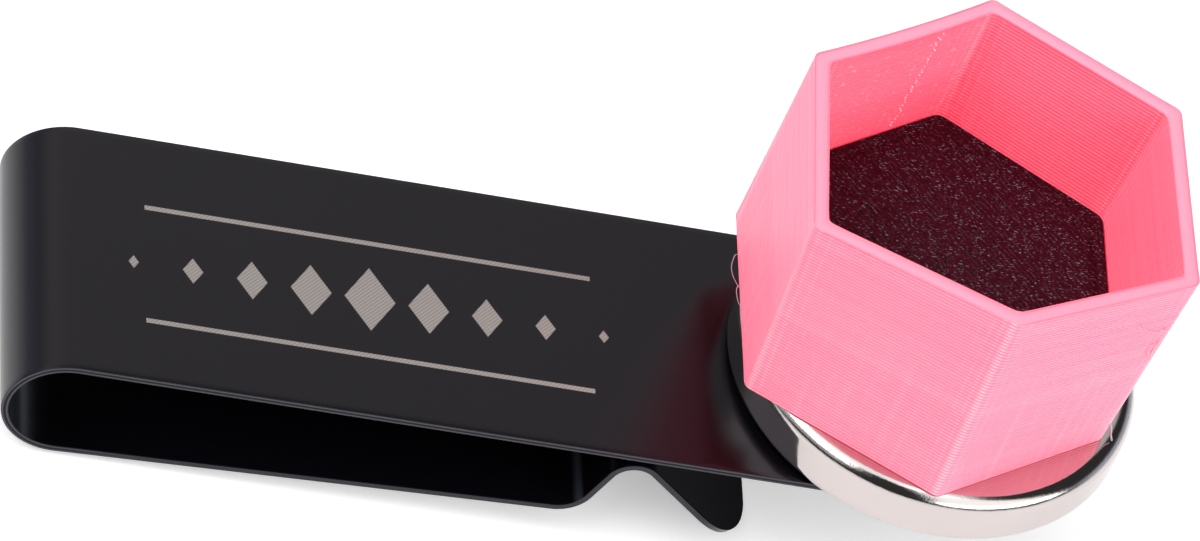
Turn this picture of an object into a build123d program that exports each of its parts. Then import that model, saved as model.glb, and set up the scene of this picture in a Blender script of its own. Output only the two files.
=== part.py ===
from build123d import *
import os
from math import cos, radians, sin, tan

# A billiard chalk holder: a sprung belt clip of bent steel strip carries a plated disc magnet,
# and a printed hexagonal cup with its own hidden magnet sits on that disc.
# Frame: X runs along the clip from the bend to the magnet, Y across the strip, Z up.
# The origin is under the middle of the part, on the surface the clip lies on.

# Strip of the clip
STRIP_WIDTH = 24.0
STRIP_THICKNESS = 0.6
CLIP_DEPTH = 9.75  # outside of the bend, from the leg's back to the plate's face
CLIP_REACH = 71.2  # from the outside of the bend to the axis of the disc magnet
PLATE_PAST_AXIS = 5.0  # how far the plate runs on under the disc magnet
PLATE_CORNER_RADIUS = 3.0

# Sprung leg: slope, heel, crest that grips the cloth, and flared lip
LEG_SLOPE = 3.3
HEEL_RADIUS = 3.0
RISER_SLOPE = 70.0
CREST_RADIUS = 1.7
CREST_REACH = 48.6  # from the outside of the bend to the top of the crest
CREST_GAP = 0.45  # between the crest and the plate's back
LIP_SLOPE = 40.5
LIP_DROP = 0.35  # how far the lip's end hangs below the back of the bend
LIP_CORNER_RADIUS = 6.0

# Disc magnet
MAGNET_DIAMETER = 31.75
MAGNET_THICKNESS = 4.76
MAGNET_EDGE_RADIUS = 0.75

# Printed cup, sized from the chalk that it holds
CHALK_ACROSS_FLATS = 26.0
CHALK_CLEARANCE = 0.2
CUP_WALL = 1.2
CUP_HEIGHT = 20.0
CUP_DRAFT = 1.1  # the walls lean out towards the rim, in degrees
CUP_CORNER_RADIUS = 1.0
CUP_INNER_CORNER_RADIUS = 0.6
CUP_BASE_SKIN = 1.64  # print left between the two magnets
CUP_OFFSET_X = -1.55  # the cup stands a little off the disc's axis, where it was put down
CUP_OFFSET_Y = 0.45

# Magnet in the cup's base and the plug that closes it in
KEEPER_THICKNESS = 4.76
KEEPER_CLEARANCE = 0.16
KEEPER_LEDGE = 0.3  # step left round the pocket for the plug to sit on
KEEPER_EDGE_CHAMFER = 0.4
PLUG_THICKNESS = 2.0
PLUG_CLEARANCE = 0.15
PLUG_CORNER_RADIUS = 1.6

# Places that follow from those sizes
bend_radius = CLIP_DEPTH / 2
bend_x = -(CLIP_REACH + MAGNET_DIAMETER / 2) / 2
bend_z = LIP_DROP + bend_radius
bend_start = (bend_x, bend_z)  # outermost point of the bend, where leg and plate meet
plate_z = LIP_DROP + CLIP_DEPTH
magnet_x = bend_x + CLIP_REACH
cup_plane = Plane((magnet_x + CUP_OFFSET_X, CUP_OFFSET_Y, plate_z + MAGNET_THICKNESS))
plug_seat = CUP_BASE_SKIN + KEEPER_THICKNESS
chalk_seat = plug_seat + PLUG_THICKNESS
chalk_apothem = CHALK_ACROSS_FLATS / 2 + CHALK_CLEARANCE
seat_apothem = chalk_apothem - PLUG_THICKNESS * tan(radians(CUP_DRAFT))
base_apothem = chalk_apothem + CUP_WALL - chalk_seat * tan(radians(CUP_DRAFT))
keeper_radius = seat_apothem - KEEPER_LEDGE - KEEPER_CLEARANCE

# Straight lengths of the leg, so that its crest comes to the right reach and gap
slope = radians(LEG_SLOPE)
riser = radians(RISER_SLOPE)
lip = radians(LIP_SLOPE)
crest_z = plate_z - STRIP_THICKNESS - CREST_GAP - STRIP_THICKNESS
run = CREST_REACH - bend_radius * (1 + sin(slope))
run -= HEEL_RADIUS * (sin(riser) - sin(slope)) + CREST_RADIUS * sin(riser)
rise = crest_z - LIP_DROP - bend_radius * (1 - cos(slope))
rise -= HEEL_RADIUS * (cos(slope) - cos(riser)) + CREST_RADIUS * (1 - cos(riser))
leg_length = (run * sin(riser) - rise * cos(riser)) / sin(riser - slope)
riser_length = (rise * cos(slope) - run * sin(slope)) / sin(riser - slope)
lip_length = (crest_z - CREST_RADIUS * (1 - cos(lip))) / sin(lip)


def hexagon(plane, apothem, corner_radius):
    """A hexagon with rounded corners on the plane, with two of its flats towards X."""
    with BuildSketch(plane) as outline:
        RegularPolygon(radius=apothem, side_count=6, major_radius=False, rotation=30)
        fillet(outline.vertices(), radius=corner_radius)
    return outline.sketch


os.makedirs("parts", exist_ok=True)

# Leg: lower half of the bend, then the sloping leg, heel, riser, crest and lip in one strip
with BuildPart() as clip_leg:
    with BuildSketch(Plane.XZ):
        with BuildLine():
            bend = JernArc(bend_start, (0, -1), bend_radius, 90 + LEG_SLOPE)
            straight = PolarLine(bend @ 1, leg_length, LEG_SLOPE)
            heel = JernArc(straight @ 1, straight % 1, HEEL_RADIUS, RISER_SLOPE - LEG_SLOPE)
            rising = PolarLine(heel @ 1, riser_length, RISER_SLOPE)
            crest = JernArc(rising @ 1, rising % 1, CREST_RADIUS, -RISER_SLOPE - LIP_SLOPE)
            PolarLine(crest @ 1, lip_length, -LIP_SLOPE)
            offset(amount=STRIP_THICKNESS, side=Side.LEFT)
        make_face()
    extrude(amount=STRIP_WIDTH / 2, both=True)
    lip_end = clip_leg.faces().sort_by(Axis.X)[-1]
    fillet(lip_end.edges().filter_by(Axis.Y, reverse=True), radius=LIP_CORNER_RADIUS)
clip_leg.part.label = "clip_leg"
export_step(clip_leg.part, "parts/clip_leg.step")

# Plate: upper half of the bend and the flat front that carries the magnet
with BuildPart() as clip_plate:
    with BuildSketch(Plane.XZ):
        with BuildLine():
            bend = JernArc(bend_start, (0, 1), bend_radius, -90)
            Line(bend @ 1, (magnet_x + PLATE_PAST_AXIS, plate_z))
            offset(amount=STRIP_THICKNESS, side=Side.RIGHT)
        make_face()
    extrude(amount=STRIP_WIDTH / 2, both=True)
    plate_end = clip_plate.faces().sort_by(Axis.X)[-1]
    fillet(plate_end.edges().filter_by(Axis.Z), radius=PLATE_CORNER_RADIUS)
clip_plate.part.label = "clip_plate"
export_step(clip_plate.part, "parts/clip_plate.step")

# Disc magnet that lies on the plate, with the rounded edges of a plated magnet
with BuildPart() as magnet_disc:
    with BuildSketch(Plane((magnet_x, 0, plate_z))):
        Circle(MAGNET_DIAMETER / 2)
    extrude(amount=MAGNET_THICKNESS)
    fillet(magnet_disc.edges().filter_by(GeomType.CIRCLE), radius=MAGNET_EDGE_RADIUS)
magnet_disc.part.label = "magnet_disc"
export_step(magnet_disc.part, "parts/magnet_disc.step")

# Cup: hexagonal wall, chalk pocket and the round pocket for the keeper magnet under it
with BuildPart() as cup_shell:
    extrude(hexagon(cup_plane, base_apothem, CUP_CORNER_RADIUS), amount=CUP_HEIGHT, taper=-CUP_DRAFT)
    pocket = hexagon(cup_plane.offset(plug_seat), seat_apothem, CUP_INNER_CORNER_RADIUS)
    extrude(pocket, amount=CUP_HEIGHT - plug_seat, taper=-CUP_DRAFT, mode=Mode.SUBTRACT)
    with BuildSketch(cup_plane.offset(CUP_BASE_SKIN)):
        Circle(keeper_radius + KEEPER_CLEARANCE)
    extrude(amount=KEEPER_THICKNESS, mode=Mode.SUBTRACT)
cup_shell.part.label = "cup_shell"
export_step(cup_shell.part, "parts/cup_shell.step")

# Keeper magnet, buried in the cup's base
with BuildPart() as keeper_magnet:
    with BuildSketch(cup_plane.offset(CUP_BASE_SKIN)):
        Circle(keeper_radius)
    extrude(amount=KEEPER_THICKNESS)
    chamfer(keeper_magnet.edges().filter_by(GeomType.CIRCLE), length=KEEPER_EDGE_CHAMFER)
keeper_magnet.part.label = "keeper_magnet"
export_step(keeper_magnet.part, "parts/keeper_magnet.step")

# Plug: the floor of the chalk pocket, which covers the keeper magnet
with BuildPart() as floor_plug:
    plug_outline = hexagon(cup_plane.offset(plug_seat), seat_apothem - PLUG_CLEARANCE, PLUG_CORNER_RADIUS)
    extrude(plug_outline, amount=PLUG_THICKNESS, taper=-CUP_DRAFT)
floor_plug.part.label = "floor_plug"
export_step(floor_plug.part, "parts/floor_plug.step")
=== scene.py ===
# %% [markdown]
# # A chalk holder that clips to a belt
#
# A strip of black spring steel is bent into a belt clip. A plated disc magnet lies on the front
# of it, and a printed six-sided cup with a magnet of its own in the base stands on that disc.
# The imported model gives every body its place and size. This lesson dresses those bodies: each
# piece is a mesh made of rings or sections worked out in Python, and each finish is a small tree
# of shader nodes.

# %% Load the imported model
import math
import random

import bpy
import numpy as np
from mathutils import Matrix, Vector


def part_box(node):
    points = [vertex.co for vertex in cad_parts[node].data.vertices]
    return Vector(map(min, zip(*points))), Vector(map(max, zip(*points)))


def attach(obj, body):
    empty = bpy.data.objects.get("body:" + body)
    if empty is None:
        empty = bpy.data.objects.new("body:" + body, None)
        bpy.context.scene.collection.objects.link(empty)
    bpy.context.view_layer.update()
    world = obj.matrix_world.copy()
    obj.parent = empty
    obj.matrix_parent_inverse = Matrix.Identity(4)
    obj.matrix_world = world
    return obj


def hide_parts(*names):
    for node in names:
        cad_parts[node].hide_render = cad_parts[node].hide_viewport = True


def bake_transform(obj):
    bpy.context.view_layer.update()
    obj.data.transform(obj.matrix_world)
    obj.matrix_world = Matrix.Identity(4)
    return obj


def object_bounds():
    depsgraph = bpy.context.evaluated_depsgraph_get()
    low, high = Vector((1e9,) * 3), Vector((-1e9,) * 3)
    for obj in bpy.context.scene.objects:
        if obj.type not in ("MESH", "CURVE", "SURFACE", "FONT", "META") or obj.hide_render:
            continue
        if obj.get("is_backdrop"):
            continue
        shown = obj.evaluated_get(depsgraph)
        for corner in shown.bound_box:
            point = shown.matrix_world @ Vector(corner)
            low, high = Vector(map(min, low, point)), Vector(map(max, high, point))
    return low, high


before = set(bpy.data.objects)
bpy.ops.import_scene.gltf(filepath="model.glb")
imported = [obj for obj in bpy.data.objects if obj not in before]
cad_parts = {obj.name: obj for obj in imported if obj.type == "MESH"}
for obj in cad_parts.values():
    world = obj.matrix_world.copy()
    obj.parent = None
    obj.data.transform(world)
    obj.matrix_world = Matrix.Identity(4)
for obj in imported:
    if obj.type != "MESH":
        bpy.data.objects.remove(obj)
cad_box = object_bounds()
MM = 0.001

# %% [markdown]
# ## Camera
#
# The portrait is taken with a long lens from the front, about 46 degrees above the plate, and
# the camera is rolled so that the clip runs downhill to the right. A camera could be aimed with a
# Track To constraint, but a roll is easier to state with the three axes of its matrix.

# %% Camera
VIEW_AZIMUTH = math.radians(19.95)
VIEW_ELEVATION = math.radians(46.01)
VIEW_ROLL = math.radians(23.81)
VIEW_DISTANCE = 837.7 * MM
VIEW_LENS = 329.5
aim = Vector((2.23, 6.04, 10.1)) * MM

forward = Vector((
    math.sin(VIEW_AZIMUTH) * math.cos(VIEW_ELEVATION),
    math.cos(VIEW_AZIMUTH) * math.cos(VIEW_ELEVATION),
    -math.sin(VIEW_ELEVATION),
))
level = forward.cross(Vector((0, 0, 1))).normalized()
right = level * math.cos(VIEW_ROLL) + level.cross(forward) * math.sin(VIEW_ROLL)
axes = Matrix((right, right.cross(forward), -forward)).transposed()
lens = bpy.data.cameras.new("portrait_lens")
lens.lens = VIEW_LENS
camera = bpy.data.objects.new("portrait_camera", lens)
camera.matrix_world = Matrix.Translation(aim - forward * VIEW_DISTANCE) @ axes.to_4x4()
bpy.context.collection.objects.link(camera)
bpy.context.scene.camera = camera
bpy.context.scene.view_settings.view_transform = "Standard"
print("Camera stands at", [round(value / MM) for value in camera.matrix_world.translation], "mm")

# %% [markdown]
# ## A bench for shader nodes
#
# Node trees grow long when every node is placed by hand. Here a `Wire` stands for one socket, so
# that `1 - mask * 0.3` adds its Math nodes by itself, and a `Bench` has one method that adds any
# other node: first its settings, then the values or wires of its sockets.

# %% Wires
def operator(operation):
    """The two methods of one operator: with the wire first, and with the wire second."""

    def forward(self, other):
        return self.sum_of(operation, self, other)

    def reflected(self, other):
        return self.sum_of(operation, other, self)

    return forward, reflected


class Wire:
    """One output socket, with the operators that shader maths needs."""

    __add__, __radd__ = operator("ADD")
    __sub__, __rsub__ = operator("SUBTRACT")
    __mul__, __rmul__ = operator("MULTIPLY")
    __truediv__, __rtruediv__ = operator("DIVIDE")
    __lt__ = operator("LESS_THAN")[0]
    __gt__ = operator("GREATER_THAN")[0]

    def __init__(self, bench, socket):
        self.bench = bench
        self.socket = socket

    def __abs__(self):
        return self.sum_of("ABSOLUTE", self)

    def sum_of(self, operation, first, second=0.0):
        """One Math node on two values or wires."""
        return self.bench.node("ShaderNodeMath", {"operation": operation}, {0: first, 1: second})


print("Wires ready")

# %% Bench
class Bench:
    """A node tree that is built by one method."""

    def __init__(self, tree):
        self.tree = tree
        tree.nodes.clear()

    def node(self, kind, settings, values, out=0):
        """Adds any node and gives its output, or a list of outputs when out is a tuple of names."""
        made = self.tree.nodes.new(kind)
        for key, value in settings.items():
            setattr(made, key, value)
        for key, value in values.items():
            if isinstance(value, Wire):
                self.tree.links.new(value.socket, made.inputs[key])
            else:
                made.inputs[key].default_value = value
        if isinstance(out, tuple):
            return [Wire(self, made.outputs[key]) for key in out]
        return Wire(self, made.outputs[out]) if made.outputs else None


print("Bench ready")

# %% [markdown]
# ## Words the finishes share
#
# Every finish uses the same few ideas: a soft step between two values, a band with two soft edges,
# a cloud of noise, sprinkled dots, two colours mixed by a mask, and a surface that ends in the
# Principled shader. Each gets a short name. Node groups could do the same, but functions are easier
# to read. Colours are written as a colour picker shows them and turned into linear light.

# %% Words for masks
def soft_step(value, low, high):
    """0 below low, 1 above high and smooth between them."""
    span = {"Value": value, "From Min": low, "From Max": high}
    return value.bench.node("ShaderNodeMapRange", {"interpolation_type": "SMOOTHSTEP"}, span)


def band(value, rise, fall):
    """1 between two soft edges, each given by where it starts and where it ends."""
    return soft_step(value, *rise) * (1 - soft_step(value, *fall))


def clouds(place, scale, detail=2.0):
    """Noise between about 0 and 1 at the places of a vector wire, with scale lumps to the metre."""
    values = {"Vector": place, "Scale": scale, "Detail": detail}
    return place.bench.node("ShaderNodeTexNoise", {}, values, "Fac")


def stretched(place, along, across, up):
    """A vector wire with its three parts scaled."""
    values = {0: place, 1: (along, across, up)}
    return place.bench.node("ShaderNodeVectorMath", {"operation": "MULTIPLY"}, values)


def parts(place):
    """The x, y and z of a vector wire."""
    return place.bench.node("ShaderNodeSeparateXYZ", {}, {"Vector": place}, (0, 1, 2))


def sprinkled(place, scale, share, edge):
    """1 in small dots: scale cells to the metre, a share of them with a dot that has that soft edge."""
    cells = {"Vector": place, "Scale": scale}
    away, tone = place.bench.node("ShaderNodeTexVoronoi", {}, cells, ("Distance", "Color"))
    lot = place.bench.node("ShaderNodeSeparateColor", {}, {"Color": tone}, "Red")
    return (lot > 1 - share) * (1 - soft_step(away, *edge))


print("Mask words ready")

# %% Words for surfaces
def picked(red, green, blue):
    """A colour as a picker shows it, from 0 to 255, as linear light with full alpha."""
    shares = [value / 255 for value in (red, green, blue)]
    return [s / 12.92 if s <= 0.04045 else ((s + 0.055) / 1.055) ** 2.4 for s in shares] + [1.0]


def tinted(mask, under, over):
    """The under colour, and the over colour where the mask is 1."""
    values = {0: mask, 6: under, 7: over}
    return mask.bench.node("ShaderNodeMix", {"data_type": "RGBA"}, values, 2)


def relief(height, depth, strength):
    """A bumped normal for a height wire, with the depth in metres."""
    values = {"Height": height, "Distance": depth, "Strength": strength}
    return height.bench.node("ShaderNodeBump", {}, values)


def new_finish(name):
    """A new material, and the bench for its nodes."""
    material = bpy.data.materials.new(name)
    material.use_nodes = True
    return material, Bench(material.node_tree)


def surfaced(bench, values):
    """Ends a material in the Principled shader with these sockets."""
    shader = bench.node("ShaderNodeBsdfPrincipled", {}, values)
    bench.node("ShaderNodeOutputMaterial", {}, {"Surface": shader})


print("Surface words ready")

# %% [markdown]
# ## Meshes from rings
#
# Every piece here is a stack of closed rings: sections along the strip, circles up the disc, or
# hexagons up the cup. Joining each ring to the next with four-sided faces gives clean meshes that
# follow the shape, which a boolean or a remesh would not. Known normals may be handed over, so
# that flat faces next to a tiny rounded edge stay flat in the light.

# %% Faces between rings
def ring_faces(rows, columns):
    """Faces between rings that follow each other, as index lists."""
    faces = []
    for row in range(rows - 1):
        low = row * columns
        for column in range(columns):
            after = (column + 1) % columns
            faces.append((low + column, low + after, low + columns + after, low + columns + column))
    return faces


def capped(rows, columns):
    """Faces of a ring stack that is closed at both ends."""
    last = (rows - 1) * columns
    ends = [tuple(reversed(range(columns))), tuple(range(last, last + columns))]
    return ring_faces(rows, columns) + ends


print("A cube of two rings has", len(capped(2, 4)), "faces")

# %% Pieces
def new_piece(name, points, faces, finish, normals=None):
    """A smooth mesh object from an array of points."""
    mesh = bpy.data.meshes.new(name)
    mesh.from_pydata([tuple(point) for point in points], [], faces)
    mesh.polygons.foreach_set("use_smooth", [True] * len(faces))
    if normals is not None:
        mesh.normals_split_custom_set_from_vertices([tuple(normal) for normal in normals])
    mesh.materials.append(finish)
    piece = bpy.data.objects.new(name, mesh)
    bpy.context.collection.objects.link(piece)
    return piece


def mark(piece, name, vectors):
    """Stores a vector for every point, for the finish to read."""
    layer = piece.data.attributes.new(name, "FLOAT_VECTOR", "POINT")
    layer.data.foreach_set("vector", np.asarray(vectors, dtype=np.float32).ravel())


print("Piece words ready")

# %% [markdown]
# ## The strip's path
#
# The clip is one strip, so its outer skin is one walk: along the plate, round the bend, along the
# leg, up the heel to the crest and down the flared lip. Each leg of the walk is a length and a
# turn. A bevelled curve would give the same strip, but a walk also tells every point how far along
# the flat strip it lies, which the finish needs. The plate and the bend come from the frame, and the
# rest repeats the part's own sizes.

# %% Sizes of the strip
plate_low, plate_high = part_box("clip_plate")
THICKNESS = 0.6 * MM
LEG_SLOPE = math.radians(3.3)
RISER_SLOPE = math.radians(70.0)
LIP_SLOPE = math.radians(40.5)
HEEL_RADIUS = 3.0 * MM
CREST_RADIUS = 1.7 * MM
CREST_REACH = 48.6 * MM
CREST_GAP = 0.45 * MM
LIP_DROP = 0.35 * MM

half_width = plate_high[1]
plate_z = plate_high[2]
bend_x, bend_z = plate_low[0], plate_low[2]
bend_radius = plate_z - bend_z
crest_z = plate_z - 2 * THICKNESS - CREST_GAP
run = CREST_REACH - bend_radius * (1 + math.sin(LEG_SLOPE)) - CREST_RADIUS * math.sin(RISER_SLOPE)
run -= HEEL_RADIUS * (math.sin(RISER_SLOPE) - math.sin(LEG_SLOPE))
rise = crest_z - LIP_DROP - bend_radius * (1 - math.cos(LEG_SLOPE))
rise -= HEEL_RADIUS * (math.cos(LEG_SLOPE) - math.cos(RISER_SLOPE))
rise -= CREST_RADIUS * (1 - math.cos(RISER_SLOPE))
spread = math.sin(RISER_SLOPE - LEG_SLOPE)
leg_length = (run * math.sin(RISER_SLOPE) - rise * math.cos(RISER_SLOPE)) / spread
riser_length = (rise * math.cos(LEG_SLOPE) - run * math.sin(LEG_SLOPE)) / spread
lip_length = (crest_z - CREST_RADIUS * (1 - math.cos(LIP_SLOPE))) / math.sin(LIP_SLOPE)
print(f"Leg {leg_length / MM:.1f} mm, riser {riser_length / MM:.1f} mm, lip {lip_length / MM:.1f} mm")

# %% Walk along the strip
plate_length = plate_high[0] - bend_x - bend_radius
walk = [
    (plate_length, 0.0),
    (bend_radius * (math.pi + LEG_SLOPE), math.pi + LEG_SLOPE),
    (leg_length, 0.0),
    (HEEL_RADIUS * (RISER_SLOPE - LEG_SLOPE), RISER_SLOPE - LEG_SLOPE),
    (riser_length, 0.0),
    (CREST_RADIUS * (RISER_SLOPE + LIP_SLOPE), -RISER_SLOPE - LIP_SLOPE),
    (lip_length, 0.0),
]
turn_marks = np.cumsum([0.0] + [length for length, _ in walk])
plate_end, bend_end, heel_start = turn_marks[1:4]
strip_end = turn_marks[-1]


def on_path(distance):
    """Place (x, z) and heading of the outer skin after that distance from the plate's end."""
    x, z, heading = plate_high[0], plate_z, math.pi
    for (length, turn), start in zip(walk, turn_marks):
        share = min(max(distance - start, 0.0), length)
        angle = turn * share / length
        if turn:
            radius = length / turn
            x += radius * (math.sin(heading + angle) - math.sin(heading))
            z -= radius * (math.cos(heading + angle) - math.cos(heading))
        else:
            x += share * math.cos(heading)
            z += share * math.sin(heading)
        heading += angle
    return x, z, heading


print(f"The strip is {strip_end / MM:.1f} mm long before it is bent")

# %% [markdown]
# ## Sections across the strip
#
# A real strip is punched. The punch draws the outer skin down a little before it cuts, so the face
# falls away towards its edges and darkens there. Each section is a thin rectangle with that fall
# and with tiny round edges. Towards a rounded end of the strip, the sections get narrower along an
# arc, and the last few also get thinner. A solidified plane would be quicker, but has no such fall.

# %% Sections
EDGE_RADIUS = 0.05 * MM
EDGE_STEPS = 4
ARC_STEP = math.radians(3.0)
ROLL_WIDTH = 0.6 * MM
ROLL_TILT = math.radians(8.5)
ROLL_DROP = ROLL_WIDTH * ROLL_TILT / 3
ROLL_SHARES = (0.0, 0.35, 0.6, 0.8)


def rolled(half, squeeze, side):
    """Points of the outer skin's fall towards one edge, from the flat to where the edge turns."""
    ring = []
    for share in ROLL_SHARES:
        tilt = ROLL_TILT * share**2
        y = half - EDGE_RADIUS - ROLL_WIDTH * (1 - share)
        depth = squeeze + ROLL_DROP * share**3
        ring.append((side * y, depth, side * math.sin(tilt), -math.cos(tilt)))
    return ring


def section(half, squeeze):
    """Points (y, depth) and normals (y, depth) round one section of the strip."""
    radius = EDGE_RADIUS - squeeze
    ring = rolled(half, squeeze, 1)
    corners = [(1, -1), (1, 1), (-1, 1), (-1, -1)]
    for number, (side, inward) in enumerate(corners):
        tilt, middle = 0.0, THICKNESS - EDGE_RADIUS
        if inward < 0:
            tilt, middle = ROLL_TILT, EDGE_RADIUS + ROLL_DROP
        for step in range(EDGE_STEPS + 1):
            turned = step / EDGE_STEPS if number % 2 == 0 else 1 - step / EDGE_STEPS
            angle = tilt + (math.radians(90) - tilt) * turned
            ny, nd = side * math.sin(angle), inward * math.cos(angle)
            y = side * (half - EDGE_RADIUS) + ny * radius
            ring.append((y, middle + nd * radius, ny, nd))
    return ring + rolled(half, squeeze, -1)[::-1]


print("A section has", len(section(half_width, 0.0)), "points")

# %% Where the sections go
CORNER_CUTS = 14
EDGE_CUTS = 6
CLOSEST_CUTS = 1e-4 * MM
ROUNDING = 1e-6 * MM


def cut_places(start, end, round_start=0.0, round_end=0.0):
    """Distances along the strip where it gets a section, with finer steps on curves and ends."""
    places = {start, end}
    for (length, turn), begin in zip(walk, turn_marks):
        if turn:
            count = max(2, round(abs(turn) / ARC_STEP))
            places.update(begin + length * step / count for step in range(count + 1))
        else:
            places.update((begin, begin + length))
    for corner, edge, side in ((round_start, start, 1), (round_end, end, -1)):
        if corner:
            reach = math.asin((corner - EDGE_RADIUS) / corner)
            arcs = ((corner, reach, CORNER_CUTS), (EDGE_RADIUS, math.radians(90), EDGE_CUTS))
            for radius, last, cuts in arcs:
                insets = [radius * (1 - math.sin(last * step / cuts)) for step in range(cuts + 1)]
                places.update(edge + side * inset for inset in insets)
    inside = sorted(place for place in places if start - ROUNDING <= place <= end + ROUNDING)
    return [a for a, b in zip(inside, inside[1:] + [math.inf]) if b - a > CLOSEST_CUTS]


print("The bend gets", len(cut_places(plate_end, bend_end)), "sections")

# %% [markdown]
# ## Black finish of the clip
#
# The steel is coated in satin black. Almost all that the eye sees is the blurred reflection of the
# room, so the colour is nearly nothing and the roughness does the work: a fine grain and a few
# specks of dust. The cut edge shows bare grey steel, painted lighter on the plate as a painted
# highlight of its edges and darker on the leg, and a dark line of painted shade runs along the
# middle of the plate's edge. The inner skin of the leg, up to the lip, loses its reflection and goes
# near black as painted shade, for the shade it lies in under the disc; across the heel it is painted
# lighter as a painted highlight of the curve. A laser mark changes only the skin, so it can be
# painted as a mask: a plain row of lozenges that get smaller towards the ends, between two thin rules.

# %% Laser mark
MARK_MIDDLE = (48.8 * MM, -0.6 * MM)
MARK_PITCH = 4.6 * MM
MARK_LOZENGE = (2.0 * MM, 3.1 * MM)  # half its length along the strip, and across it
MARK_SHRINK = 0.2
MARK_RULE = (5.6 * MM, 0.22 * MM, 17.5 * MM)  # off the middle, half thickness, half length
LOZENGE_BLUR = 0.02
LEAST_LOZENGE = 0.1
RULE_BLUR = 0.02 * MM
HATCH_PITCH = 0.24 * MM
HATCH_LEAN = (0.72, 0.69)


def laser_hatch(along, across):
    """The slanting passes of the laser, from 0 to 1."""
    passes = (HATCH_LEAN[0] * along + HATCH_LEAN[1] * across) * (math.tau / HATCH_PITCH)
    return 0.5 + 0.5 * along.sum_of("SINE", passes)


def laser_mark(along, across):
    """1 where the laser has marked the plate, for the two places on the flat strip."""
    x = along - MARK_MIDDLE[0]
    y = abs(across - MARK_MIDDLE[1])
    cell = x.sum_of("ROUND", x / MARK_PITCH)
    size = 1 - MARK_SHRINK * abs(cell)
    reach = abs(x - cell * MARK_PITCH) / MARK_LOZENGE[0] + y / MARK_LOZENGE[1]
    lozenges = 1 - soft_step(reach - size, -LOZENGE_BLUR, LOZENGE_BLUR)
    off_middle, half_thick, half_length = MARK_RULE
    rules = 1 - soft_step(abs(y - off_middle), half_thick - RULE_BLUR, half_thick + RULE_BLUR)
    return lozenges * (size > LEAST_LOZENGE) + rules * (abs(x) < half_length)


print("Laser mark planned")

# %% Black finish: where things are
LEG_BEGINS = (86 * MM, 96 * MM)  # along the strip
INNER_SKIN = (0.5 * MM, 0.56 * MM)  # under the outer skin, as are the next two
CUT_EDGE = (0.05 * MM, 0.1 * MM), (0.5 * MM, 0.55 * MM)
# painted shade: a dark line along the middle of the plate's edge, between its painted highlights
EDGE_GROOVE_SHADE = (0.17 * MM, 0.25 * MM), (0.37 * MM, 0.45 * MM)
HEEL_HIGHLIGHT_SPAN = (1.9 * MM, 2.7 * MM), (2.8 * MM, 3.5 * MM)  # painted highlight, past the start of the heel
clip_black, bench = new_finish("clip_black")
flat = bench.node("ShaderNodeAttribute", {"attribute_name": "flat"}, {}, "Vector")
along, across, depth = parts(flat)
grain = clouds(flat, 6500.0, 3.0)
smears = clouds(stretched(flat, 1.0, 1.6, 1.0), 130.0, 3.0)
dust = sprinkled(flat, 330.0, 0.28, (0.008, 0.022))
etched = laser_mark(along, across) * (depth < 0.5 * THICKNESS) * (0.75 + 0.25 * grain)
on_leg = soft_step(along, *LEG_BEGINS)
inside = soft_step(depth, *INNER_SKIN) * on_leg
cut = band(depth, *CUT_EDGE)
edge_groove_shade = band(depth, *EDGE_GROOVE_SHADE) * (1 - on_leg)
# painted highlight: the inner skin is painted lighter across the heel's curve
heel_highlight = band(along - heel_start, *HEEL_HIGHLIGHT_SPAN)
print("The black finish has", len(clip_black.node_tree.nodes), "nodes so far, for its masks")

# %% Black finish: what they change
# bare steel of the cut edge, painted lighter on the plate as a painted highlight of its edges, darker on
# the leg
steel_and_edge_highlight = tinted(on_leg, picked(62, 62, 69), picked(24, 22, 28))
bare = tinted(laser_hatch(along, across), picked(136, 131, 127), picked(166, 160, 154))
paint = tinted(cut, picked(4, 4, 6), steel_and_edge_highlight)
paint = tinted(dust * 0.55, paint, picked(120, 118, 116))
paint = tinted(etched, paint, bare)
roughness = 0.18 + grain * 0.06 + smears * 0.04
grained = relief(grain, 0.004 * MM, 0.35)
face = bench.node("ShaderNodeBsdfPrincipled", {}, {
    "Base Color": paint,
    "Roughness": roughness + etched * 0.3,
    "Specular IOR Level": 0.33,
    "Specular Tint": (0.96, 0.88, 1.0, 1.0),
    "Normal": grained,
})
# painted shade: a near black skin without reflection, painted lighter across the heel as a painted
# highlight
painted_shade_skin = bench.node("ShaderNodeBsdfPrincipled", {}, {
    "Base Color": tinted(heel_highlight, picked(9, 9, 14), picked(50, 53, 60)),
    "Roughness": roughness + 0.2,
    "Specular IOR Level": 0.0,
    "Normal": grained,
})
# the inner skin of the leg and the line along the plate's edge take the painted shade skin
skin = bench.node("ShaderNodeMixShader", {}, {0: inside * 0.93 + edge_groove_shade * 0.75, 1: face, 2: painted_shade_skin})
bench.node("ShaderNodeOutputMaterial", {}, {"Surface": skin})
print("Black finish has", len(clip_black.node_tree.nodes), "nodes")
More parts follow.
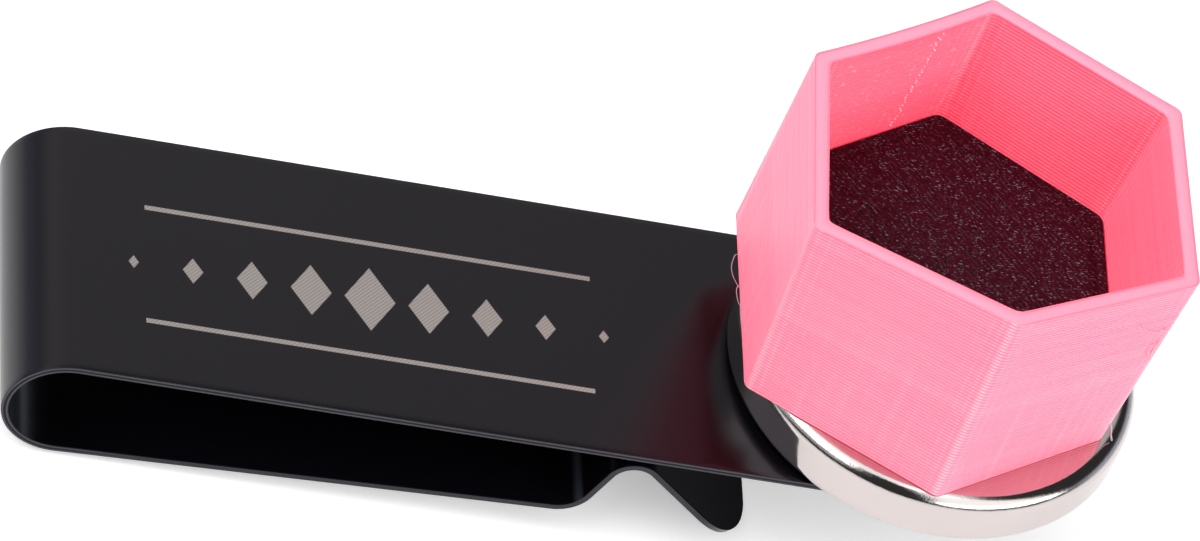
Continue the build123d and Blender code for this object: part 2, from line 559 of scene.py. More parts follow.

# %% [markdown]
# ## The strip in three pieces
#
# Opening the clip unbends its U, so one stiff mesh would tear away from the plate or the leg. The
# strip is cut where the bend begins and ends: plate and leg each ride on their own body, and the
# U between them is a third piece that stays where it is. The cuts share their normals, so no seam shows.

# %% One length of strip
def strip_piece(name, start, end, round_start=0.0, round_end=0.0):
    """The strip between two distances along it, with the radius of its corners at either end."""
    points, normals, flats = [], [], []
    places = cut_places(start, end, round_start, round_end)
    for place in places:
        half, squeeze, lean, slant = half_width, 0.0, 0.0, 0.0
        for corner, edge_at, side in ((round_start, start, -1), (round_end, end, 1)):
            inset = (edge_at - place) * side
            if corner and inset < corner:
                slant = side * math.asin((corner - max(inset, 0.0)) / corner)
                half = half_width - corner * (1 - math.cos(slant))
            if corner and inset < EDGE_RADIUS:
                lean = side * math.asin(1 - max(inset, 0.0) / EDGE_RADIUS)
                squeeze = EDGE_RADIUS * (1 - math.cos(lean))
        x, z, heading = on_path(place)
        ahead = np.array((math.cos(heading), 0.0, math.sin(heading)))
        inward = np.array((-math.sin(heading), 0.0, math.cos(heading)))
        for y, depth, ny, nd in section(half, squeeze):
            points.append(np.array((x, y, z)) + inward * depth)
            tilt = abs(ny) * math.sin(slant) * math.cos(lean) + math.sin(lean)
            normal = ahead * tilt + inward * nd * math.cos(lean)
            normal[1] = ny * math.cos(lean) * math.cos(slant)
            normals.append(normal)
            flats.append((place, y, depth))
    faces = capped(len(places), len(points) // len(places))
    piece = new_piece(name, points, faces, clip_black, normals)
    mark(piece, "flat", flats)
    print(f"{name}: {len(points)} points")
    return piece


print("Lengths of strip can be made")

# %% Plate, leg and bend
PLATE_CORNER = 3.0 * MM
LIP_CORNER = 6.0 * MM
strip_plate = strip_piece("strip_plate", 0.0, plate_end, round_start=PLATE_CORNER)
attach(strip_plate, "plate")
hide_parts("clip_plate")
strip_leg = strip_piece("strip_leg", bend_end, strip_end, round_end=LIP_CORNER)
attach(strip_leg, "leg")
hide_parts("clip_leg")
strip_bend = strip_piece("strip_bend", plate_end, bend_end)
bend_foot = (bend_x, 0.0, bend_z - bend_radius)
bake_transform(strip_bend)

# %% [markdown]
# ## Disc magnet
#
# A plated magnet is a plain disc whose edges are rounded by tumbling before the nickel goes on.
# The mirror finish shows any facet, so the disc is a lathe of 192 steps with exact normals. The
# rounding reaches further across the faces than down the side. The plating is bright, a little
# warm, with the faint orange peel of a barrel-plated part and fine pits along the worn edges.

# %% Nickel finish
WORN_EDGE = (0.04, 0.3), (0.9, 0.99)  # how far the surface looks up or down, from 0 to 1
nickel, bench = new_finish("nickel_plate")
place = bench.node("ShaderNodeTexCoord", {}, {}, "Object")
peel = clouds(place, 1100.0, 4.0)
fine = clouds(place, 5200.0, 2.0)
pits = clouds(place, 9000.0, 3.0)
stain = clouds(place, 160.0, 3.0)
facing = bench.node("ShaderNodeNewGeometry", {}, {}, "Normal")
worn = band(abs(parts(facing)[2]), *WORN_EDGE)
surfaced(bench, {
    "Base Color": tinted(stain, picked(202, 195, 193), picked(189, 183, 181)),
    "Metallic": 1.0,
    "Roughness": 0.075 + fine * 0.05,
    "Normal": relief(peel + worn * pits * 1.1, 0.02 * MM, 0.4),
})
print("Nickel finish has", len(nickel.node_tree.nodes), "nodes")

# %% Disc
EDGE_ACROSS = 1.3 * MM
EDGE_DOWN = 1.15 * MM
DISC_STEPS = 192
ROUND_STEPS = 14
HUB_RADIUS = 0.4 * MM  # of the flat face that closes the rings in the middle
FACE_SHARE = 0.7
AIR = 0.01 * MM  # left between faces that rest on each other
disc_low, disc_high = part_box("magnet_disc")
disc_foot, disc_top = disc_low[2] + AIR, disc_high[2]
disc_x = (disc_low[0] + disc_high[0]) / 2
disc_radius = (disc_high[0] - disc_low[0]) / 2


def disc_profile():
    """Radius, height and their normals from the middle of the bottom to the middle of the top."""
    yield HUB_RADIUS, disc_foot, 0.0, -1.0
    yield disc_radius * FACE_SHARE, disc_foot, 0.0, -1.0
    for centre, first in ((disc_foot + EDGE_DOWN, -90), (disc_top - EDGE_DOWN, 0)):
        for step in range(ROUND_STEPS + 1):
            angle = math.radians(first + 90 * step / ROUND_STEPS)
            out, up = math.cos(angle), math.sin(angle)
            radius = disc_radius - EDGE_ACROSS * (1 - out)
            normal = np.array((out / EDGE_ACROSS, up / EDGE_DOWN))
            normal /= np.linalg.norm(normal)
            yield radius, centre + EDGE_DOWN * up, *normal
    yield disc_radius * FACE_SHARE, disc_top, 0.0, 1.0
    yield HUB_RADIUS, disc_top, 0.0, 1.0


points, normals = [], []
for radius, height, out, up in disc_profile():
    for step in range(DISC_STEPS):
        angle = math.tau * step / DISC_STEPS
        points.append((disc_x + radius * math.cos(angle), radius * math.sin(angle), height))
        normals.append((out * math.cos(angle), out * math.sin(angle), up))
disc = new_piece("disc", points, capped(len(points) // DISC_STEPS, DISC_STEPS), nickel, normals)
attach(disc, "magnet")
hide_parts("magnet_disc")
print(f"Disc of {2 * disc_radius / MM:.2f} mm on the plate")

# %% [markdown]
# ## Printed cup
#
# The cup is printed in pink plastic, 62 layers high. The layers are real ridges, so they are made
# in the mesh: six rings for each layer, the one between two layers drawn in. The corners bulge a
# little where the nozzle slows down, every layer is laid with a small error, and the rim shows
# the three lines of the wall. The walls of a thin print also pull out of true as they cool.
#
# The finish adds what is too fine for a mesh: ripples beside the corners where the nozzle still
# shakes, specks, and dashes on the rear wall inside. It also paints light and shade: the layer tops
# lighter and their grooves darker, the inside darker and redder as painted shade, and painted
# highlights at the corners, over the ripples and in faint columns near the foot, mostly on the
# layer tops.
# This pink sends back more red than falls on it, so a little red light is added.

# %% Pink finish: where things are
LAYERS = 62
cup_low, cup_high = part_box("cup_shell")
cup_height = cup_high[2] - cup_low[2]
LAYER = cup_height / LAYERS
SIDE_LENGTH = 16.5 * MM
RIPPLE_PITCH = 0.8 * MM
RIPPLE_FADE = 2.6 * MM
CORNER_HIGHLIGHT_SPAN = (0.2 * MM, 0.45 * MM)
COLUMNS_FADE = (2 * MM, 15 * MM)
REAR_WALL = 1.5 * SIDE_LENGTH  # its middle, counted round the cup


def there_and_back(value, length):
    """Runs from 0 to 1 and back again over every two lengths."""
    return value.sum_of("PINGPONG", value, length) / length


cup_pink, bench = new_finish("cup_pink")
printed = bench.node("ShaderNodeAttribute", {"attribute_name": "printed"}, {}, "Vector")
around, inner, height = parts(printed)
from_corner = there_and_back(around, SIDE_LENGTH / 2) * (SIDE_LENGTH / 2)
ripple = from_corner.sum_of("COSINE", from_corner * (math.tau / RIPPLE_PITCH))
ripple = ripple * from_corner.sum_of("EXPONENT", from_corner * (-1 / RIPPLE_FADE))
bead_top = soft_step(there_and_back(height, LAYER / 2), 0.35, 0.9)
each_layer = clouds(stretched(printed, 30.0, 0.0, 2300.0), 1.0, 1.0)
streaks = clouds(stretched(printed, 8.0, 0.0, 900.0), 1.0, 2.0) - 0.5
patches = clouds(printed, 420.0, 2.0)
skin = clouds(printed, 4200.0, 2.0)
# painted highlight at the corners
corner_highlight = 1 - soft_step(from_corner, *CORNER_HIGHLIGHT_SPAN)
# faint columns near the foot, shown as painted highlight
columns = soft_step(clouds(stretched(printed, 1300.0, 0.0, 25.0), 1.0, 1.0), 0.5, 0.72)
columns = columns * (1 - soft_step(height, *COLUMNS_FADE))
ghost_highlights = soft_step(ripple * patches, 0.08, 0.4) + columns
specks = sprinkled(printed, 260.0, 0.2, (0.02, 0.035))
dashes = soft_step(clouds(stretched(printed, 1300.0, 0.0, 3100.0), 1.0, 1.0), 0.6, 0.74) * inner
dashes = dashes * (0.25 + 0.75 * (abs(around - REAR_WALL) < SIDE_LENGTH / 2))
print("The pink finish has", len(cup_pink.node_tree.nodes), "nodes so far, for its masks")

# %% Pink finish: what they change
RED_GLOW = (1.0, 0.0, 0.04, 1.0)
# painted light and shade: layer tops lighter, grooves darker, and the inside darker and redder as
# painted shade
groove_shade_tone = tinted(inner * 0.33, picked(255, 140, 171), picked(255, 108, 128))
bead_lit_tone = tinted(inner * 0.33, picked(255, 176, 195), picked(255, 134, 150))
tone = tinted(0.05 + each_layer * 0.22 + streaks * 0.6 + bead_top * 0.62, groove_shade_tone, bead_lit_tone)
# painted highlights: at the corners, over the ripples and in the columns, mostly on the layer tops
painted_highlight = corner_highlight * (0.42 - 0.12 * inner) + ghost_highlights * 0.5
painted_highlight = bead_top * painted_highlight + corner_highlight * (0.15 - 0.15 * inner)
tone = tinted(painted_highlight, tone, picked(255, 212, 223))
tone = tinted(specks * 0.7 + dashes * 0.5, tone, picked(255, 214, 224))
surfaced(bench, {
    "Base Color": tone,
    "Roughness": 0.3 + skin * 0.12,
    "Emission Color": RED_GLOW,
    "Emission Strength": 0.42,
    "Normal": relief(ripple * 0.25 + skin * 0.2, 0.02 * MM, 0.7),
})
print("Pink finish has", len(cup_pink.node_tree.nodes), "nodes")

# %% [markdown]
# Every ring of the cup is a hexagon with round corners, and all have the same number of points, so
# that each can be joined to the next. A plain hexagon with a bevel would give corners that don't
# follow the lean of the walls.

# %% Hexagon rings
SIDE_STEPS = 18
CORNER_STEPS = 5
COLUMNS = 6 * (SIDE_STEPS + CORNER_STEPS)
cup_x = (cup_low[0] + cup_high[0]) / 2
cup_y = (cup_low[1] + cup_high[1]) / 2
cup_z = cup_low[2] + AIR


def hexagon(apothem, corner):
    """Points and normals round a hexagon with rounded corners, from the corner at 30 degrees on."""
    points, normals = [], []
    reach = (apothem - corner) / math.cos(math.radians(30))
    for number in range(6):
        middle = math.radians(30 + 60 * number)
        centre = np.array((math.cos(middle), math.sin(middle))) * reach
        for step in range(CORNER_STEPS + 1):
            angle = middle + math.radians(-30 + 60 * step / CORNER_STEPS)
            normals.append((math.cos(angle), math.sin(angle)))
            points.append(centre + corner * np.array(normals[-1]))
        following = middle + math.radians(60)
        centre = np.array((math.cos(following), math.sin(following))) * reach
        start, target = points[-1], centre + corner * np.array(normals[-1])
        for step in range(1, SIDE_STEPS):
            points.append(start + (target - start) * step / SIDE_STEPS)
            normals.append(normals[-1])
    return np.array(points), np.array(normals)


print("Every hexagon ring has", COLUMNS, "points")

# %% [markdown]
# This cup is not a true hexagon any more: its corners have moved by up to 1.3 mm. The shift of each
# corner, in millimetres, is written down for the foot, for the pocket's floor and for the rim, and
# spread along the sides and up the walls in straight lines. The rear wall has also shrunk in at the
# middle of its rim. A lattice could bend the cup as well, but corners are easier to measure.

# %% Pulled corners
FOOT_PULL = np.array([
    (0.0, 0.1), (0.1, 0.3), (-0.12, 1.2), (-0.28, 0.18), (0.21, 0.41), (-0.24, 0.6),
]) * MM
FLOOR_PULL = np.array([
    (-0.73, -0.21), (-0.3, 0.16), (0.05, -0.16), (-0.41, -0.16), (0.1, 0.5), (-0.9, 0.26),
]) * MM
RIM_PULL = np.array([
    (0.32, 0.29), (0.48, 0.18), (0.44, -0.06), (-0.58, -0.64), (0.47, 1.20), (0.42, -0.22),
]) * MM
RIM_BOW = np.array([0.0, 0.25, 0.0, 0.0, 0.0, 0.0]) * MM
plug_low, plug_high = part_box("floor_plug")
floor_height = plug_high[2] - cup_z


def corner_shares(ring):
    """For each point of a ring, how far it has come from one corner to the next, from 0 to 6."""
    angles = np.degrees(np.arctan2(ring[:, 1], ring[:, 0])) - 30.0
    turns = np.mod(angles, 360.0) / 60.0
    base = np.floor(turns)
    inside = np.radians((turns - base) * 60.0 - 30.0)
    return base + 0.5 + 0.5 * np.tan(inside) / math.tan(math.radians(30))


def pulled(ring, height, inner=False):
    """The ring's points moved with the corners of a wall at that height above the cup's base."""
    shares = corner_shares(ring)
    base = np.floor(shares).astype(int)
    part = (shares - base)[:, None]
    start, start_pull = (floor_height, FLOOR_PULL) if inner else (0.0, FOOT_PULL)
    risen = (height - start) / (cup_height - start)
    pull = start_pull * (1 - risen) + RIM_PULL * risen
    facing = np.radians(60 * (base + 1))
    outward = np.column_stack((np.cos(facing), np.sin(facing)))
    bow = RIM_BOW[base % 6][:, None] * 4 * part * (1 - part) * risen
    return ring + pull[base % 6] * (1 - part) + pull[(base + 1) % 6] * part - bow * outward


largest_pull = np.linalg.norm(np.concatenate((FOOT_PULL, FLOOR_PULL, RIM_PULL)), axis=1).max()
print(f"Corners moved by up to {largest_pull / MM:.2f} mm")

# %% [markdown]
# A layer is a bead of plastic squeezed flat, so each wall is a pile of half rounds: the rings of a
# layer follow a circle, and its two ends lie deepest. The rings are laid in one go from the foot up
# the outside, over the rim and down the inside, which closes the cup without a boolean.

# %% Rings of the cup
DRAFT = math.tan(math.radians(1.1))
WALL = 1.2 * MM
base_apothem = (cup_high[0] - cup_low[0]) / 2 - cup_height * DRAFT
OUTER_CORNER = 1.0 * MM
INNER_CORNER = 0.6 * MM


class Rings:
    """Collects rings of the cup, with the place along the print for the finish."""

    def __init__(self):
        self.points = []
        self.printed = []

    def add(self, flat_ring, height, inner, layer_place=None):
        """Adds a ring; a layer place is given where the finish is to show no corners, as on the rim."""
        count = len(flat_ring)
        x, y = flat_ring[:, 0] + cup_x, flat_ring[:, 1] + cup_y
        self.points.append(np.column_stack((x, y, np.full(count, cup_z + height))))
        around, laid = corner_shares(flat_ring) * SIDE_LENGTH, height
        if layer_place is not None:
            around, laid = np.full(count, SIDE_LENGTH / 2), layer_place
        self.printed.append(np.column_stack((around, np.full(count, inner), np.full(count, laid))))


print(f"The foot is {2 * base_apothem / MM:.2f} mm across flats")

# %% Layers of a wall
GROOVE = 0.07 * MM
WOBBLE = 0.005 * MM
CORNER_BULGE = 0.05 * MM
BULGE_REACH = 0.03  # as a share of the side
BEAD_SHARES = (0.0, 0.08, 0.25, 0.5, 0.75, 0.92)
draw = random.Random(11)


def wall_rings(rings, first, last, side, corner):
    """Adds the layers of one wall: side is 1 for the outside going up, -1 for the inside."""
    order = range(first, last) if side > 0 else range(last - 1, first - 1, -1)
    for layer in order:
        error = draw.uniform(-WOBBLE, WOBBLE)
        for share in BEAD_SHARES if side > 0 else reversed(BEAD_SHARES):
            height = (layer + share) * LAYER
            apothem = base_apothem + height * DRAFT - (0.0 if side > 0 else WALL)
            ring, normal = hexagon(apothem, corner)
            from_start = corner_shares(ring) % 1
            off_corner = np.minimum(from_start, 1 - from_start)
            bulge = CORNER_BULGE * np.exp(-((off_corner / BULGE_REACH) ** 2))
            sunk = GROOVE * (1 - math.sqrt(1 - (1 - 2 * share) ** 2))
            push = (error + bulge - sunk)[:, None] * side
            rings.add(pulled(ring + normal * push, height, side < 0), height, 0.0 if side > 0 else 1.0)


print(f"{LAYERS} layers of {LAYER / MM:.3f} mm")

# %% Cup
RIM_LINES = 3
LINE_DIPS = (1.0, 0.25, 0.0, 0.25)
RIM_GROOVE = 0.015 * MM
RIM_CROWN = 0.2 * MM
RIM_SHINE = (0.45, 0.37)  # place in a layer, which sets the painted highlight of the layer tops at the rim's edges, and between
KEEPER_CLEARANCE = 0.16 * MM
keeper_low, keeper_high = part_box("keeper_magnet")
seat = plug_low[2] - cup_z
pocket_floor = keeper_low[2] - cup_z
pocket_radius = (keeper_high[0] - keeper_low[0]) / 2 + KEEPER_CLEARANCE
seat_layer = round(seat / LAYER)

rings = Rings()
wall_rings(rings, 0, LAYERS, 1, OUTER_CORNER)
rim_apothem = base_apothem + cup_height * DRAFT
rim_steps = len(LINE_DIPS) * RIM_LINES
for step in range(rim_steps + 1):
    across = step / rim_steps
    dip = RIM_GROOVE * LINE_DIPS[step % len(LINE_DIPS)] + RIM_CROWN * (1 - 2 * across) ** 2
    ring, _ = hexagon(rim_apothem - WALL * across, OUTER_CORNER + (INNER_CORNER - OUTER_CORNER) * across)
    shine = RIM_SHINE[0] if step in (0, rim_steps) else RIM_SHINE[1]
    rings.add(pulled(ring, cup_height), cup_height - dip, 0.0, (LAYERS - 1 + shine) * LAYER)
wall_rings(rings, seat_layer, LAYERS, -1, INNER_CORNER)
ring, _ = hexagon(base_apothem + seat * DRAFT - WALL, INNER_CORNER)
rings.add(pulled(ring, seat, True), seat, 1.0)
circle = ring / np.linalg.norm(ring, axis=1)[:, None] * pocket_radius
rings.add(circle, seat, 1.0)
rings.add(circle, pocket_floor, 1.0)
points = np.concatenate(rings.points)
cup = new_piece("cup", points, capped(len(rings.points), COLUMNS), cup_pink)
mark(cup, "printed", np.concatenate(rings.printed))
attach(cup, "cup")
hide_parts("cup_shell")
print(f"Cup: {len(points)} points in {len(rings.points)} rings")

# %% [markdown]
# ## Black floor of the cup
#
# The plug that covers the hidden magnet is printed in glossy black. Its top shows the slanting
# lines of the last layer inside two lines that follow the outline. Those lines are beads of
# plastic, so each is a thin closed tube half sunk in the plate, and a `Heap` gathers them in one
# mesh. A bump map would be quicker, but looks flat from the side. The black is painted wine red,
# a painted reflection of the pink walls; small pale flecks are painted glints, small dark gaps are
# painted shadows, and the crests of the slanting lines carry painted highlights. The front left
# half gets more of the painted shadows and weaker crest highlights.

# %% Plug finish
FLECK_LEAN = math.radians(-11)
FLECK_STRETCH = 0.42
DARKER_SIDE = (0.5, 0.85)
DARKER_FADE = 6 * MM
BEAD_PITCH = 0.42 * MM
BEAD_SLANT = math.radians(-51)
plug_black, bench = new_finish("plug_black")
place = bench.node("ShaderNodeTexCoord", {}, {}, "Object")
lumps = clouds(place, 2600.0, 3.0)
laid_over = bench.node("ShaderNodeMapping", {}, {
    "Vector": place, "Rotation": (0.0, 0.0, FLECK_LEAN), "Scale": (FLECK_STRETCH, 1.0, 1.0),
})
speckle = clouds(laid_over, 9000.0, 1.0)
# painted glints: small pale flecks
fleck_glints = soft_step(speckle, 0.62, 0.74) * (0.05 + 0.9 * clouds(place, 800.0, 1.0))
# painted shadows: small dark gaps
gap_shadows = 1 - soft_step(clouds(laid_over, 6000.0, 1.0), 0.36, 0.46)
x, y, _ = parts(place)
x, y = x - cup_x, y - cup_y
# the front left half gets more painted shadows and weaker painted crest highlights
darker_half = 1 - soft_step(DARKER_SIDE[0] * x + DARKER_SIDE[1] * y, -DARKER_FADE, DARKER_FADE)
across = y * math.cos(BEAD_SLANT) - x * math.sin(BEAD_SLANT)
# painted highlights on the crests of the slanting lines
crest_highlights = soft_step(across.sum_of("COSINE", across * (math.tau / BEAD_PITCH)), 0.7, 1.0)
crest_highlights = crest_highlights * soft_step(clouds(place, 1500.0, 2.0), 0.45, 0.6) * (0.6 - 0.35 * darker_half)
# painted reflection: the black is painted wine red for the pink walls it mirrors, with painted shadows
# and highlights on it
black = tinted(gap_shadows * (0.4 + 0.55 * darker_half), picked(54, 5, 24), picked(3, 1, 4))
black = tinted(crest_highlights, black, picked(74, 62, 72))
surfaced(bench, {
    "Base Color": tinted(fleck_glints, black, picked(146, 168, 178)),
    "Roughness": 0.3 + lumps * 0.15,
    "Specular IOR Level": 0.08,
    "Normal": relief(lumps * 0.15 + speckle * 0.6, 0.03 * MM, 0.6),
})
print("Plug finish has", len(plug_black.node_tree.nodes), "nodes")

# %% Bead tubes
BEAD_HEIGHT = 0.016 * MM
BEAD_HALF_WIDTH = 0.52 * BEAD_PITCH
BEAD_SIDES = 8
plug_apothem = (plug_high[0] - plug_low[0]) / 2
plug_top = plug_high[2]


class Heap:
    """Small closed shapes gathered in one mesh."""

    def __init__(self):
        self.points = []
        self.faces = []

    def add(self, points, faces):
        """Adds one shape, whose faces count its points from 0."""
        first = len(self.points)
        self.points.extend(points)
        self.faces.extend(tuple(first + index for index in face) for face in faces)


def plug_pulled(places):
    """Places on the plug moved as the pocket's corners are, and less towards the middle."""
    reach = np.minimum(1.0, np.linalg.norm(places, axis=1) / plug_apothem)[:, None]
    return places + (pulled(places, floor_height, True) - places) * reach


def bead(route, closed):
    """Points and faces of a flattened tube along a route of (x, y, lift) on the plug."""
    route = np.array(route)
    route[:, :2] = plug_pulled(route[:, :2])
    if closed:
        ahead = np.roll(route, -1, axis=0) - np.roll(route, 1, axis=0)
    else:
        ahead = np.gradient(route, axis=0)
    ahead = ahead[:, :2] / np.linalg.norm(ahead[:, :2], axis=1)[:, None]
    points = []
    for (x, y, lift), (dx, dy) in zip(route, ahead):
        for step in range(BEAD_SIDES):
            angle = math.tau * step / BEAD_SIDES
            out = BEAD_HALF_WIDTH * math.cos(angle)
            height = plug_top - BEAD_HEIGHT + lift + BEAD_HEIGHT * math.sin(angle)
            points.append((cup_x + x + dy * out, cup_y + y - dx * out, height))
    if closed:
        faces = ring_faces(len(route) + 1, BEAD_SIDES)
        return points, [tuple(index % len(points) for index in face) for face in faces]
    return points, capped(len(route), BEAD_SIDES)


print(f"Beads are {2 * BEAD_HALF_WIDTH / MM:.2f} mm wide and {BEAD_HEIGHT / MM:.3f} mm proud")

# %% Slanting lines
BEAD_STEP = 1.1 * MM
LINE_WANDER = 0.015 * MM
LINE_SINK = 0.008 * MM
LEVEL = 1e-6  # a side this close to a line's direction never cuts it


def slanting_routes(apothem):
    """Routes of the slanting lines that fill a hexagon of that apothem."""
    along = np.array((math.cos(BEAD_SLANT), math.sin(BEAD_SLANT)))
    across = np.array((-along[1], along[0]))
    count = int(apothem / BEAD_PITCH * 1.2)  # past the corners, which lie 1.155 apothems out
    for number in range(-count, count + 1):
        start, end = -math.inf, math.inf
        for side in range(6):
            angle = math.radians(60 * side)
            facing = np.array((math.cos(angle), math.sin(angle)))
            slope = facing @ along
            gap = apothem - facing @ across * number * BEAD_PITCH
            if slope > LEVEL:
                end = min(end, gap / slope)
            elif slope < -LEVEL:
                start = max(start, gap / slope)
        if end - start > 2 * BEAD_PITCH:
            steps = max(3, round((end - start) / BEAD_STEP))
            route = []
            for step in range(steps + 1):
                aside = number * BEAD_PITCH + draw.uniform(-1, 1) * LINE_WANDER
                x, y = along * (start + (end - start) * step / steps) + across * aside
                route.append((x, y, draw.uniform(-1.0, 0.0) * LINE_SINK))
            yield route


print(f"Slanting lines are {BEAD_PITCH / MM:.2f} mm apart")

# %% Plug
PLUG_CORNER = 1.1 * MM
OUTLINE_SINK = 0.6 * BEAD_HEIGHT
OUTLINE_INSETS = (0.6 * BEAD_PITCH, 1.6 * BEAD_PITCH)
FILL_INSET = 2.3 * BEAD_PITCH
plug_shapes = Heap()
plate_points = []
for height, inset in ((plug_low[2], (plug_top - plug_low[2]) * DRAFT), (plug_top - BEAD_HEIGHT, 0.0)):
    ring, _ = hexagon(plug_apothem - inset, PLUG_CORNER)
    plate_points += [(cup_x + x, cup_y + y, height) for x, y in plug_pulled(ring)]
plug_shapes.add(plate_points, capped(2, COLUMNS))
for line, inset in enumerate(OUTLINE_INSETS):
    ring, _ = hexagon(plug_apothem - inset, PLUG_CORNER - line * BEAD_PITCH)
    keep = np.linalg.norm(np.diff(ring, axis=0, prepend=ring[-1:]), axis=1) > CLOSEST_CUTS
    plug_shapes.add(*bead([(x, y, -OUTLINE_SINK) for x, y in ring[keep]], True))
for route in slanting_routes(plug_apothem - FILL_INSET):
    plug_shapes.add(*bead(route, False))
plug = new_piece("plug", plug_shapes.points, plug_shapes.faces, plug_black)
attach(plug, "cup")
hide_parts("floor_plug")
print(f"Plug: {len(plug_shapes.points)} points")

# %% [markdown]
# ## Hairs and pimples of the print
#
# A hot nozzle leaves traces where it stops or jumps: a pimple at the start of every layer, a dot in
# the inner corners, and a few thin hairs. They could be painted, but hairs stand off the wall and
# show against the black clip, so each is a thin tube, and each pimple is a small closed drop.

# %% Places on the walls
def on_wall(share, height, stand_off, inner=False):
    """A place by the outer or inner wall: share runs from 0 to 6 round the corners."""
    side = int(share)
    facing = math.radians(60 + 60 * side)
    apothem = base_apothem + height * DRAFT + stand_off
    across = (2 * (share - side) - 1) * apothem * math.tan(math.radians(30))
    flat_place = np.array((math.cos(facing), math.sin(facing))) * apothem
    flat_place += np.array((-math.sin(facing), math.cos(facing))) * across
    x, y = pulled(flat_place[None], height, inner)[0]
    return np.array((cup_x + x, cup_y + y, cup_z + height))


def smooth_route(stations, steps=7):
    """Places on a smooth line through the stations."""
    ends = np.vstack((2 * stations[0] - stations[1], stations, 2 * stations[-1] - stations[-2]))
    route = []
    for before, a, b, after in zip(ends, ends[1:], ends[2:], ends[3:]):
        for step in range(steps):
            t = step / steps
            square = (2 * before - 5 * a + 4 * b - after) * t**2
            cube = (3 * a - before - 3 * b + after) * t**3
            route.append(a + 0.5 * ((b - before) * t + square + cube))
    return np.array(route + [stations[-1]])


print("Foot of the left wall at", np.round(on_wall(2.5, 0.0, 0.0) / MM, 2), "mm")

# %% Hair finish
hair_pink, bench = new_finish("hair_pink")
place = bench.node("ShaderNodeTexCoord", {}, {}, "Object")
surfaced(bench, {
    "Base Color": tinted(clouds(place, 2400.0), picked(188, 146, 160), picked(236, 206, 215)),
    "Roughness": 0.35,
})
print("Hair finish has", len(hair_pink.node_tree.nodes), "nodes")

# %% Print hairs
HAIR_SIDES = 6
NO_HAIR_WAY = (0.3, 0.5, 0.8)  # a direction that no hair follows
FINE_HAIR = 0.028 * MM
THICK_HAIR = 0.08 * MM
HAIRS = [  # radius, then stations: share round the cup, height and distance off the wall in mm
    (FINE_HAIR, [(2.255, 0.2, -0.1), (2.277, 0.45, 0.32), (2.343, 0.7, 0.69), (2.377, 0.8, 0.79),
                 (2.412, 0.7, 0.66), (2.444, 0.35, 0.2), (2.455, 0.25, -0.1)]),
    (FINE_HAIR, [(2.43, 0.2, -0.1), (2.442, 0.3, 0.16), (2.47, 0.4, 0.34), (2.497, 0.5, 0.38),
                 (2.522, 0.4, 0.3), (2.539, 0.2, 0.13), (2.555, 0.15, -0.1)]),
    (FINE_HAIR, [(4.769, 16.3, 0.05), (4.81, 15.4, 0.08), (4.859, 14.9, 0.1), (4.9, 14.6, 0.1),
                 (4.94, 14.8, 0.06), (4.985, 15.2, -0.1)]),
    (FINE_HAIR, [(4.97, 14.1, -0.1), (4.937, 13.1, 0.06), (4.904, 12.4, 0.1), (4.917, 11.8, 0.1),
                 (4.965, 10.8, -0.1)]),
    (FINE_HAIR, [(4.975, 13.8, -0.1), (4.946, 12.7, 0.06), (4.946, 11.8, 0.06), (4.97, 11.2, -0.1)]),
    (THICK_HAIR, [(4.985, 2.4, -0.2), (5.0, 1.54, 0.1), (5.01, 0.74, 0.38), (5.02, 0.12, 0.68)]),
]
turns = [math.tau * step / HAIR_SIDES for step in range(HAIR_SIDES)]
hairs = Heap()
for radius, stations in HAIRS:
    places = [on_wall(share, height * MM, off * MM) for share, height, off in stations]
    route = smooth_route(np.array(places))
    ahead = np.gradient(route, axis=0)
    side = np.cross(ahead, NO_HAIR_WAY)
    side /= np.linalg.norm(side, axis=1)[:, None]
    lift = np.cross(side, ahead / np.linalg.norm(ahead, axis=1)[:, None])
    hairs.add([
        centre + radius * (math.cos(turn) * s + math.sin(turn) * u)
        for centre, s, u in zip(route, side, lift) for turn in turns
    ], capped(len(route), HAIR_SIDES))
cup_hairs = new_piece("cup_hairs", hairs.points, hairs.faces, hair_pink)
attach(cup_hairs, "cup")
print(len(HAIRS), "hairs")

# %% Pimples
DROPS = [(1.32, 0.013, 0.12), (1.03, 0.0, 0.075), (0.035, 0.0, 0.06)]  # share, its spread, size in mm
DROP_SIZES = (0.5, 1.2)
DROP_SQUASH = 0.7
DROP_LAYERS = range(seat_layer + 7, LAYERS - 1)  # from just above the plug to the rim
DROP_PROFILE = ((0.35, -0.9), (0.9, -0.45), (1.0, 0.0), (0.9, 0.45), (0.35, 0.9))
pimples = Heap()
for share, spread, size in DROPS:
    for layer in DROP_LAYERS:
        radius = size * MM * (draw.uniform(*DROP_SIZES) if spread else 1.0)
        place = on_wall(share + draw.uniform(-1, 1) * spread, (layer + 0.5) * LAYER, -WALL, True)
        pimples.add([
            place + radius * np.array((out * math.cos(turn), out * math.sin(turn), DROP_SQUASH * up))
            for out, up in DROP_PROFILE for turn in turns
        ], capped(len(DROP_PROFILE), HAIR_SIDES))
cup_pimples = new_piece("cup_pimples", pimples.points, pimples.faces, cup_pink)
mark(cup_pimples, "printed", [(0.0, 0.0, LAYER / 2)] * len(pimples.points))
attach(cup_pimples, "cup")
print(len(DROPS) * len(DROP_LAYERS), "pimples")

# %% [markdown]
# ## Hidden magnet
#
# The magnet in the cup's base is a plain plated disc like the other. It never shows, so it needs no
# mesh of its own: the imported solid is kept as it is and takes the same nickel.

# %% Hidden magnet
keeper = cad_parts["keeper_magnet"]
keeper.data.materials.clear()
keeper.data.materials.append(nickel)
print("Hidden magnet wears", keeper.data.materials[0].name)

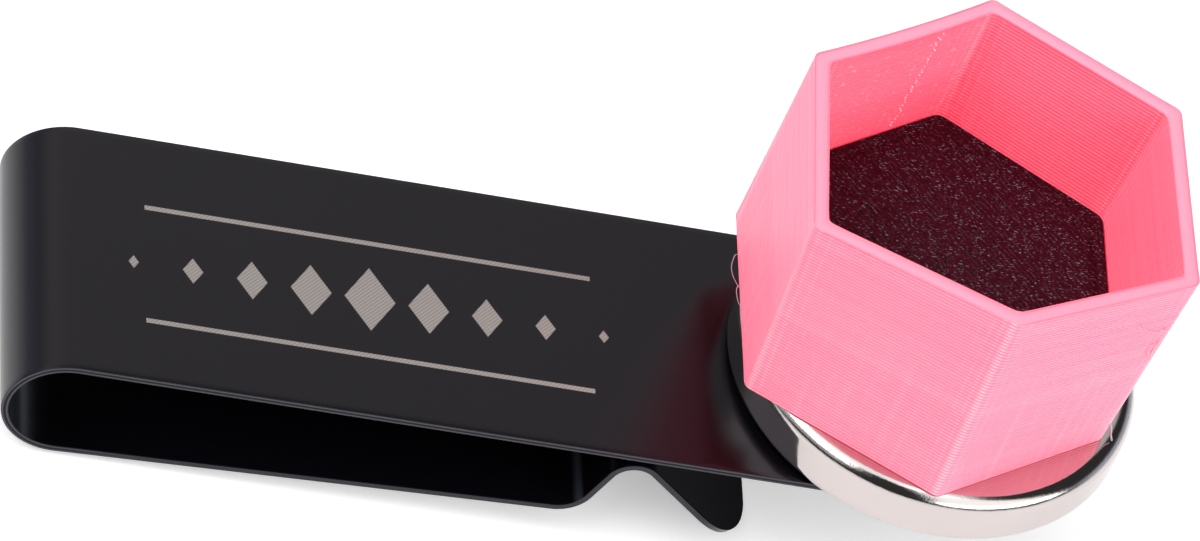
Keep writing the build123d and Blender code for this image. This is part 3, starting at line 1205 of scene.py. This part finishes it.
# %% [markdown]
# ## Floor and light tent
#
# A catalogue picture is taken on a white table between soft panels of light. The floor is white
# paper: it is lit like anything else, so it keeps the soft shadow, and a small glow lifts it to
# pure white where the camera or a mirror sees it. The panels could be area lamps, but a lamp near
# by lights the paper unevenly. Drawn on the sky they are far away, and the dark gaps between them
# give the nickel its black bands. There is a large box on the left and one on the right, each
# brighter in one half, a soft one behind, a small one straight overhead and a pale backdrop.

# %% Floor
FLOOR_HALF = 3.0
PAPER_WHITE = 0.9
PAPER_GLOW = 0.4
PAPER_DROP = 0.02 * MM
MIRRORED_TO = (78 * MM, 115 * MM)  # how far from the disc a mirror still sees the glow
BLACK = (0.0, 0.0, 0.0, 1.0)
WHITE = (1.0, 1.0, 1.0, 1.0)
paper, bench = new_finish("paper")
seen, mirrored, through = bench.node(
    "ShaderNodeLightPath", {}, {}, ("Is Camera Ray", "Is Glossy Ray", "Is Transmission Ray")
)
place = bench.node("ShaderNodeTexCoord", {}, {}, "Object")
spot = {0: place, 1: (disc_x, 0.0, 0.0)}
away = bench.node("ShaderNodeVectorMath", {"operation": "DISTANCE"}, spot, "Value")
mirrored = (mirrored + through) * (1 - soft_step(away, *MIRRORED_TO))
shown = tinted(seen + mirrored, BLACK, WHITE)
surfaced(bench, {
    "Base Color": (PAPER_WHITE, PAPER_WHITE, PAPER_WHITE, 1.0),
    "Roughness": 1.0,
    "Specular IOR Level": 0.0,
    "Emission Color": shown,
    "Emission Strength": PAPER_GLOW,
})
corners = [(-1, -1), (1, -1), (1, 1), (-1, 1)]
points = [(x * FLOOR_HALF, y * FLOOR_HALF, -PAPER_DROP) for x, y in corners]
floor = new_piece("floor", points, [(0, 1, 2, 3)], paper)
floor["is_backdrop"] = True
print("Floor laid")

# %% Light tent
BOXES = [  # strength, two bearings in degrees, two heights from 0 to 1, and the edges' blur
    (0.52, (-142, -62), (0.3, 0.6), 0.04),
    (3.15, (-142, -62), (0.6, 0.94), 0.04),
    (4.2, (108, 170), (0.2, 0.5), 0.04),
    (1.65, (108, 170), (0.5, 0.97), 0.04),
    (1.08, (-70, 27), (0.45, 0.85), 0.25),
]
OVERHEAD = 1.45
BACKDROP = 0.58
GLOOM = 0.04
COOL_WHITE = (0.8, 0.93, 1.25, 1.0)
room = bpy.data.worlds.new("light_tent")
room.use_nodes = True
bpy.context.scene.world = room
bench = Bench(room.node_tree)
towards = bench.node("ShaderNodeTexCoord", {}, {}, "Generated")
east, north, height = parts(towards)
bearing = bench.node("ShaderNodeMath", {"operation": "ARCTAN2"}, {0: east, 1: north})


def between(value, ends, blur):
    """1 between two ends, with each edge blurred to both sides."""
    return band(value, *((end - blur, end + blur) for end in ends))


backdrop = (1 - soft_step(height, 0.2, 0.45)) * soft_step(north, -0.4, 0.1)
strength = GLOOM + BACKDROP * backdrop + OVERHEAD * soft_step(height, 0.925, 0.95)
for power, bearings, heights, blur in BOXES:
    sideways = between(bearing, [math.radians(degrees) for degrees in bearings], blur)
    strength = strength + power * sideways * between(height, heights, blur)
tone = tinted(backdrop * 0.6, WHITE, COOL_WHITE)
sky = bench.node("ShaderNodeBackground", {}, {"Color": tone, "Strength": strength})
bench.node("ShaderNodeOutputWorld", {}, {"Surface": sky})
print("Light tent hung")

# %% [markdown]
# ## Measure and finish
#
# The box of the imported model and that of the dressed part are gathered at the end. The dressed
# part has to keep the size of the imported one.

# %% Finish
boxes = {"cad": cad_box, "visual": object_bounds()}
{name: [list(corner) for corner in box] for name, box in boxes.items()}
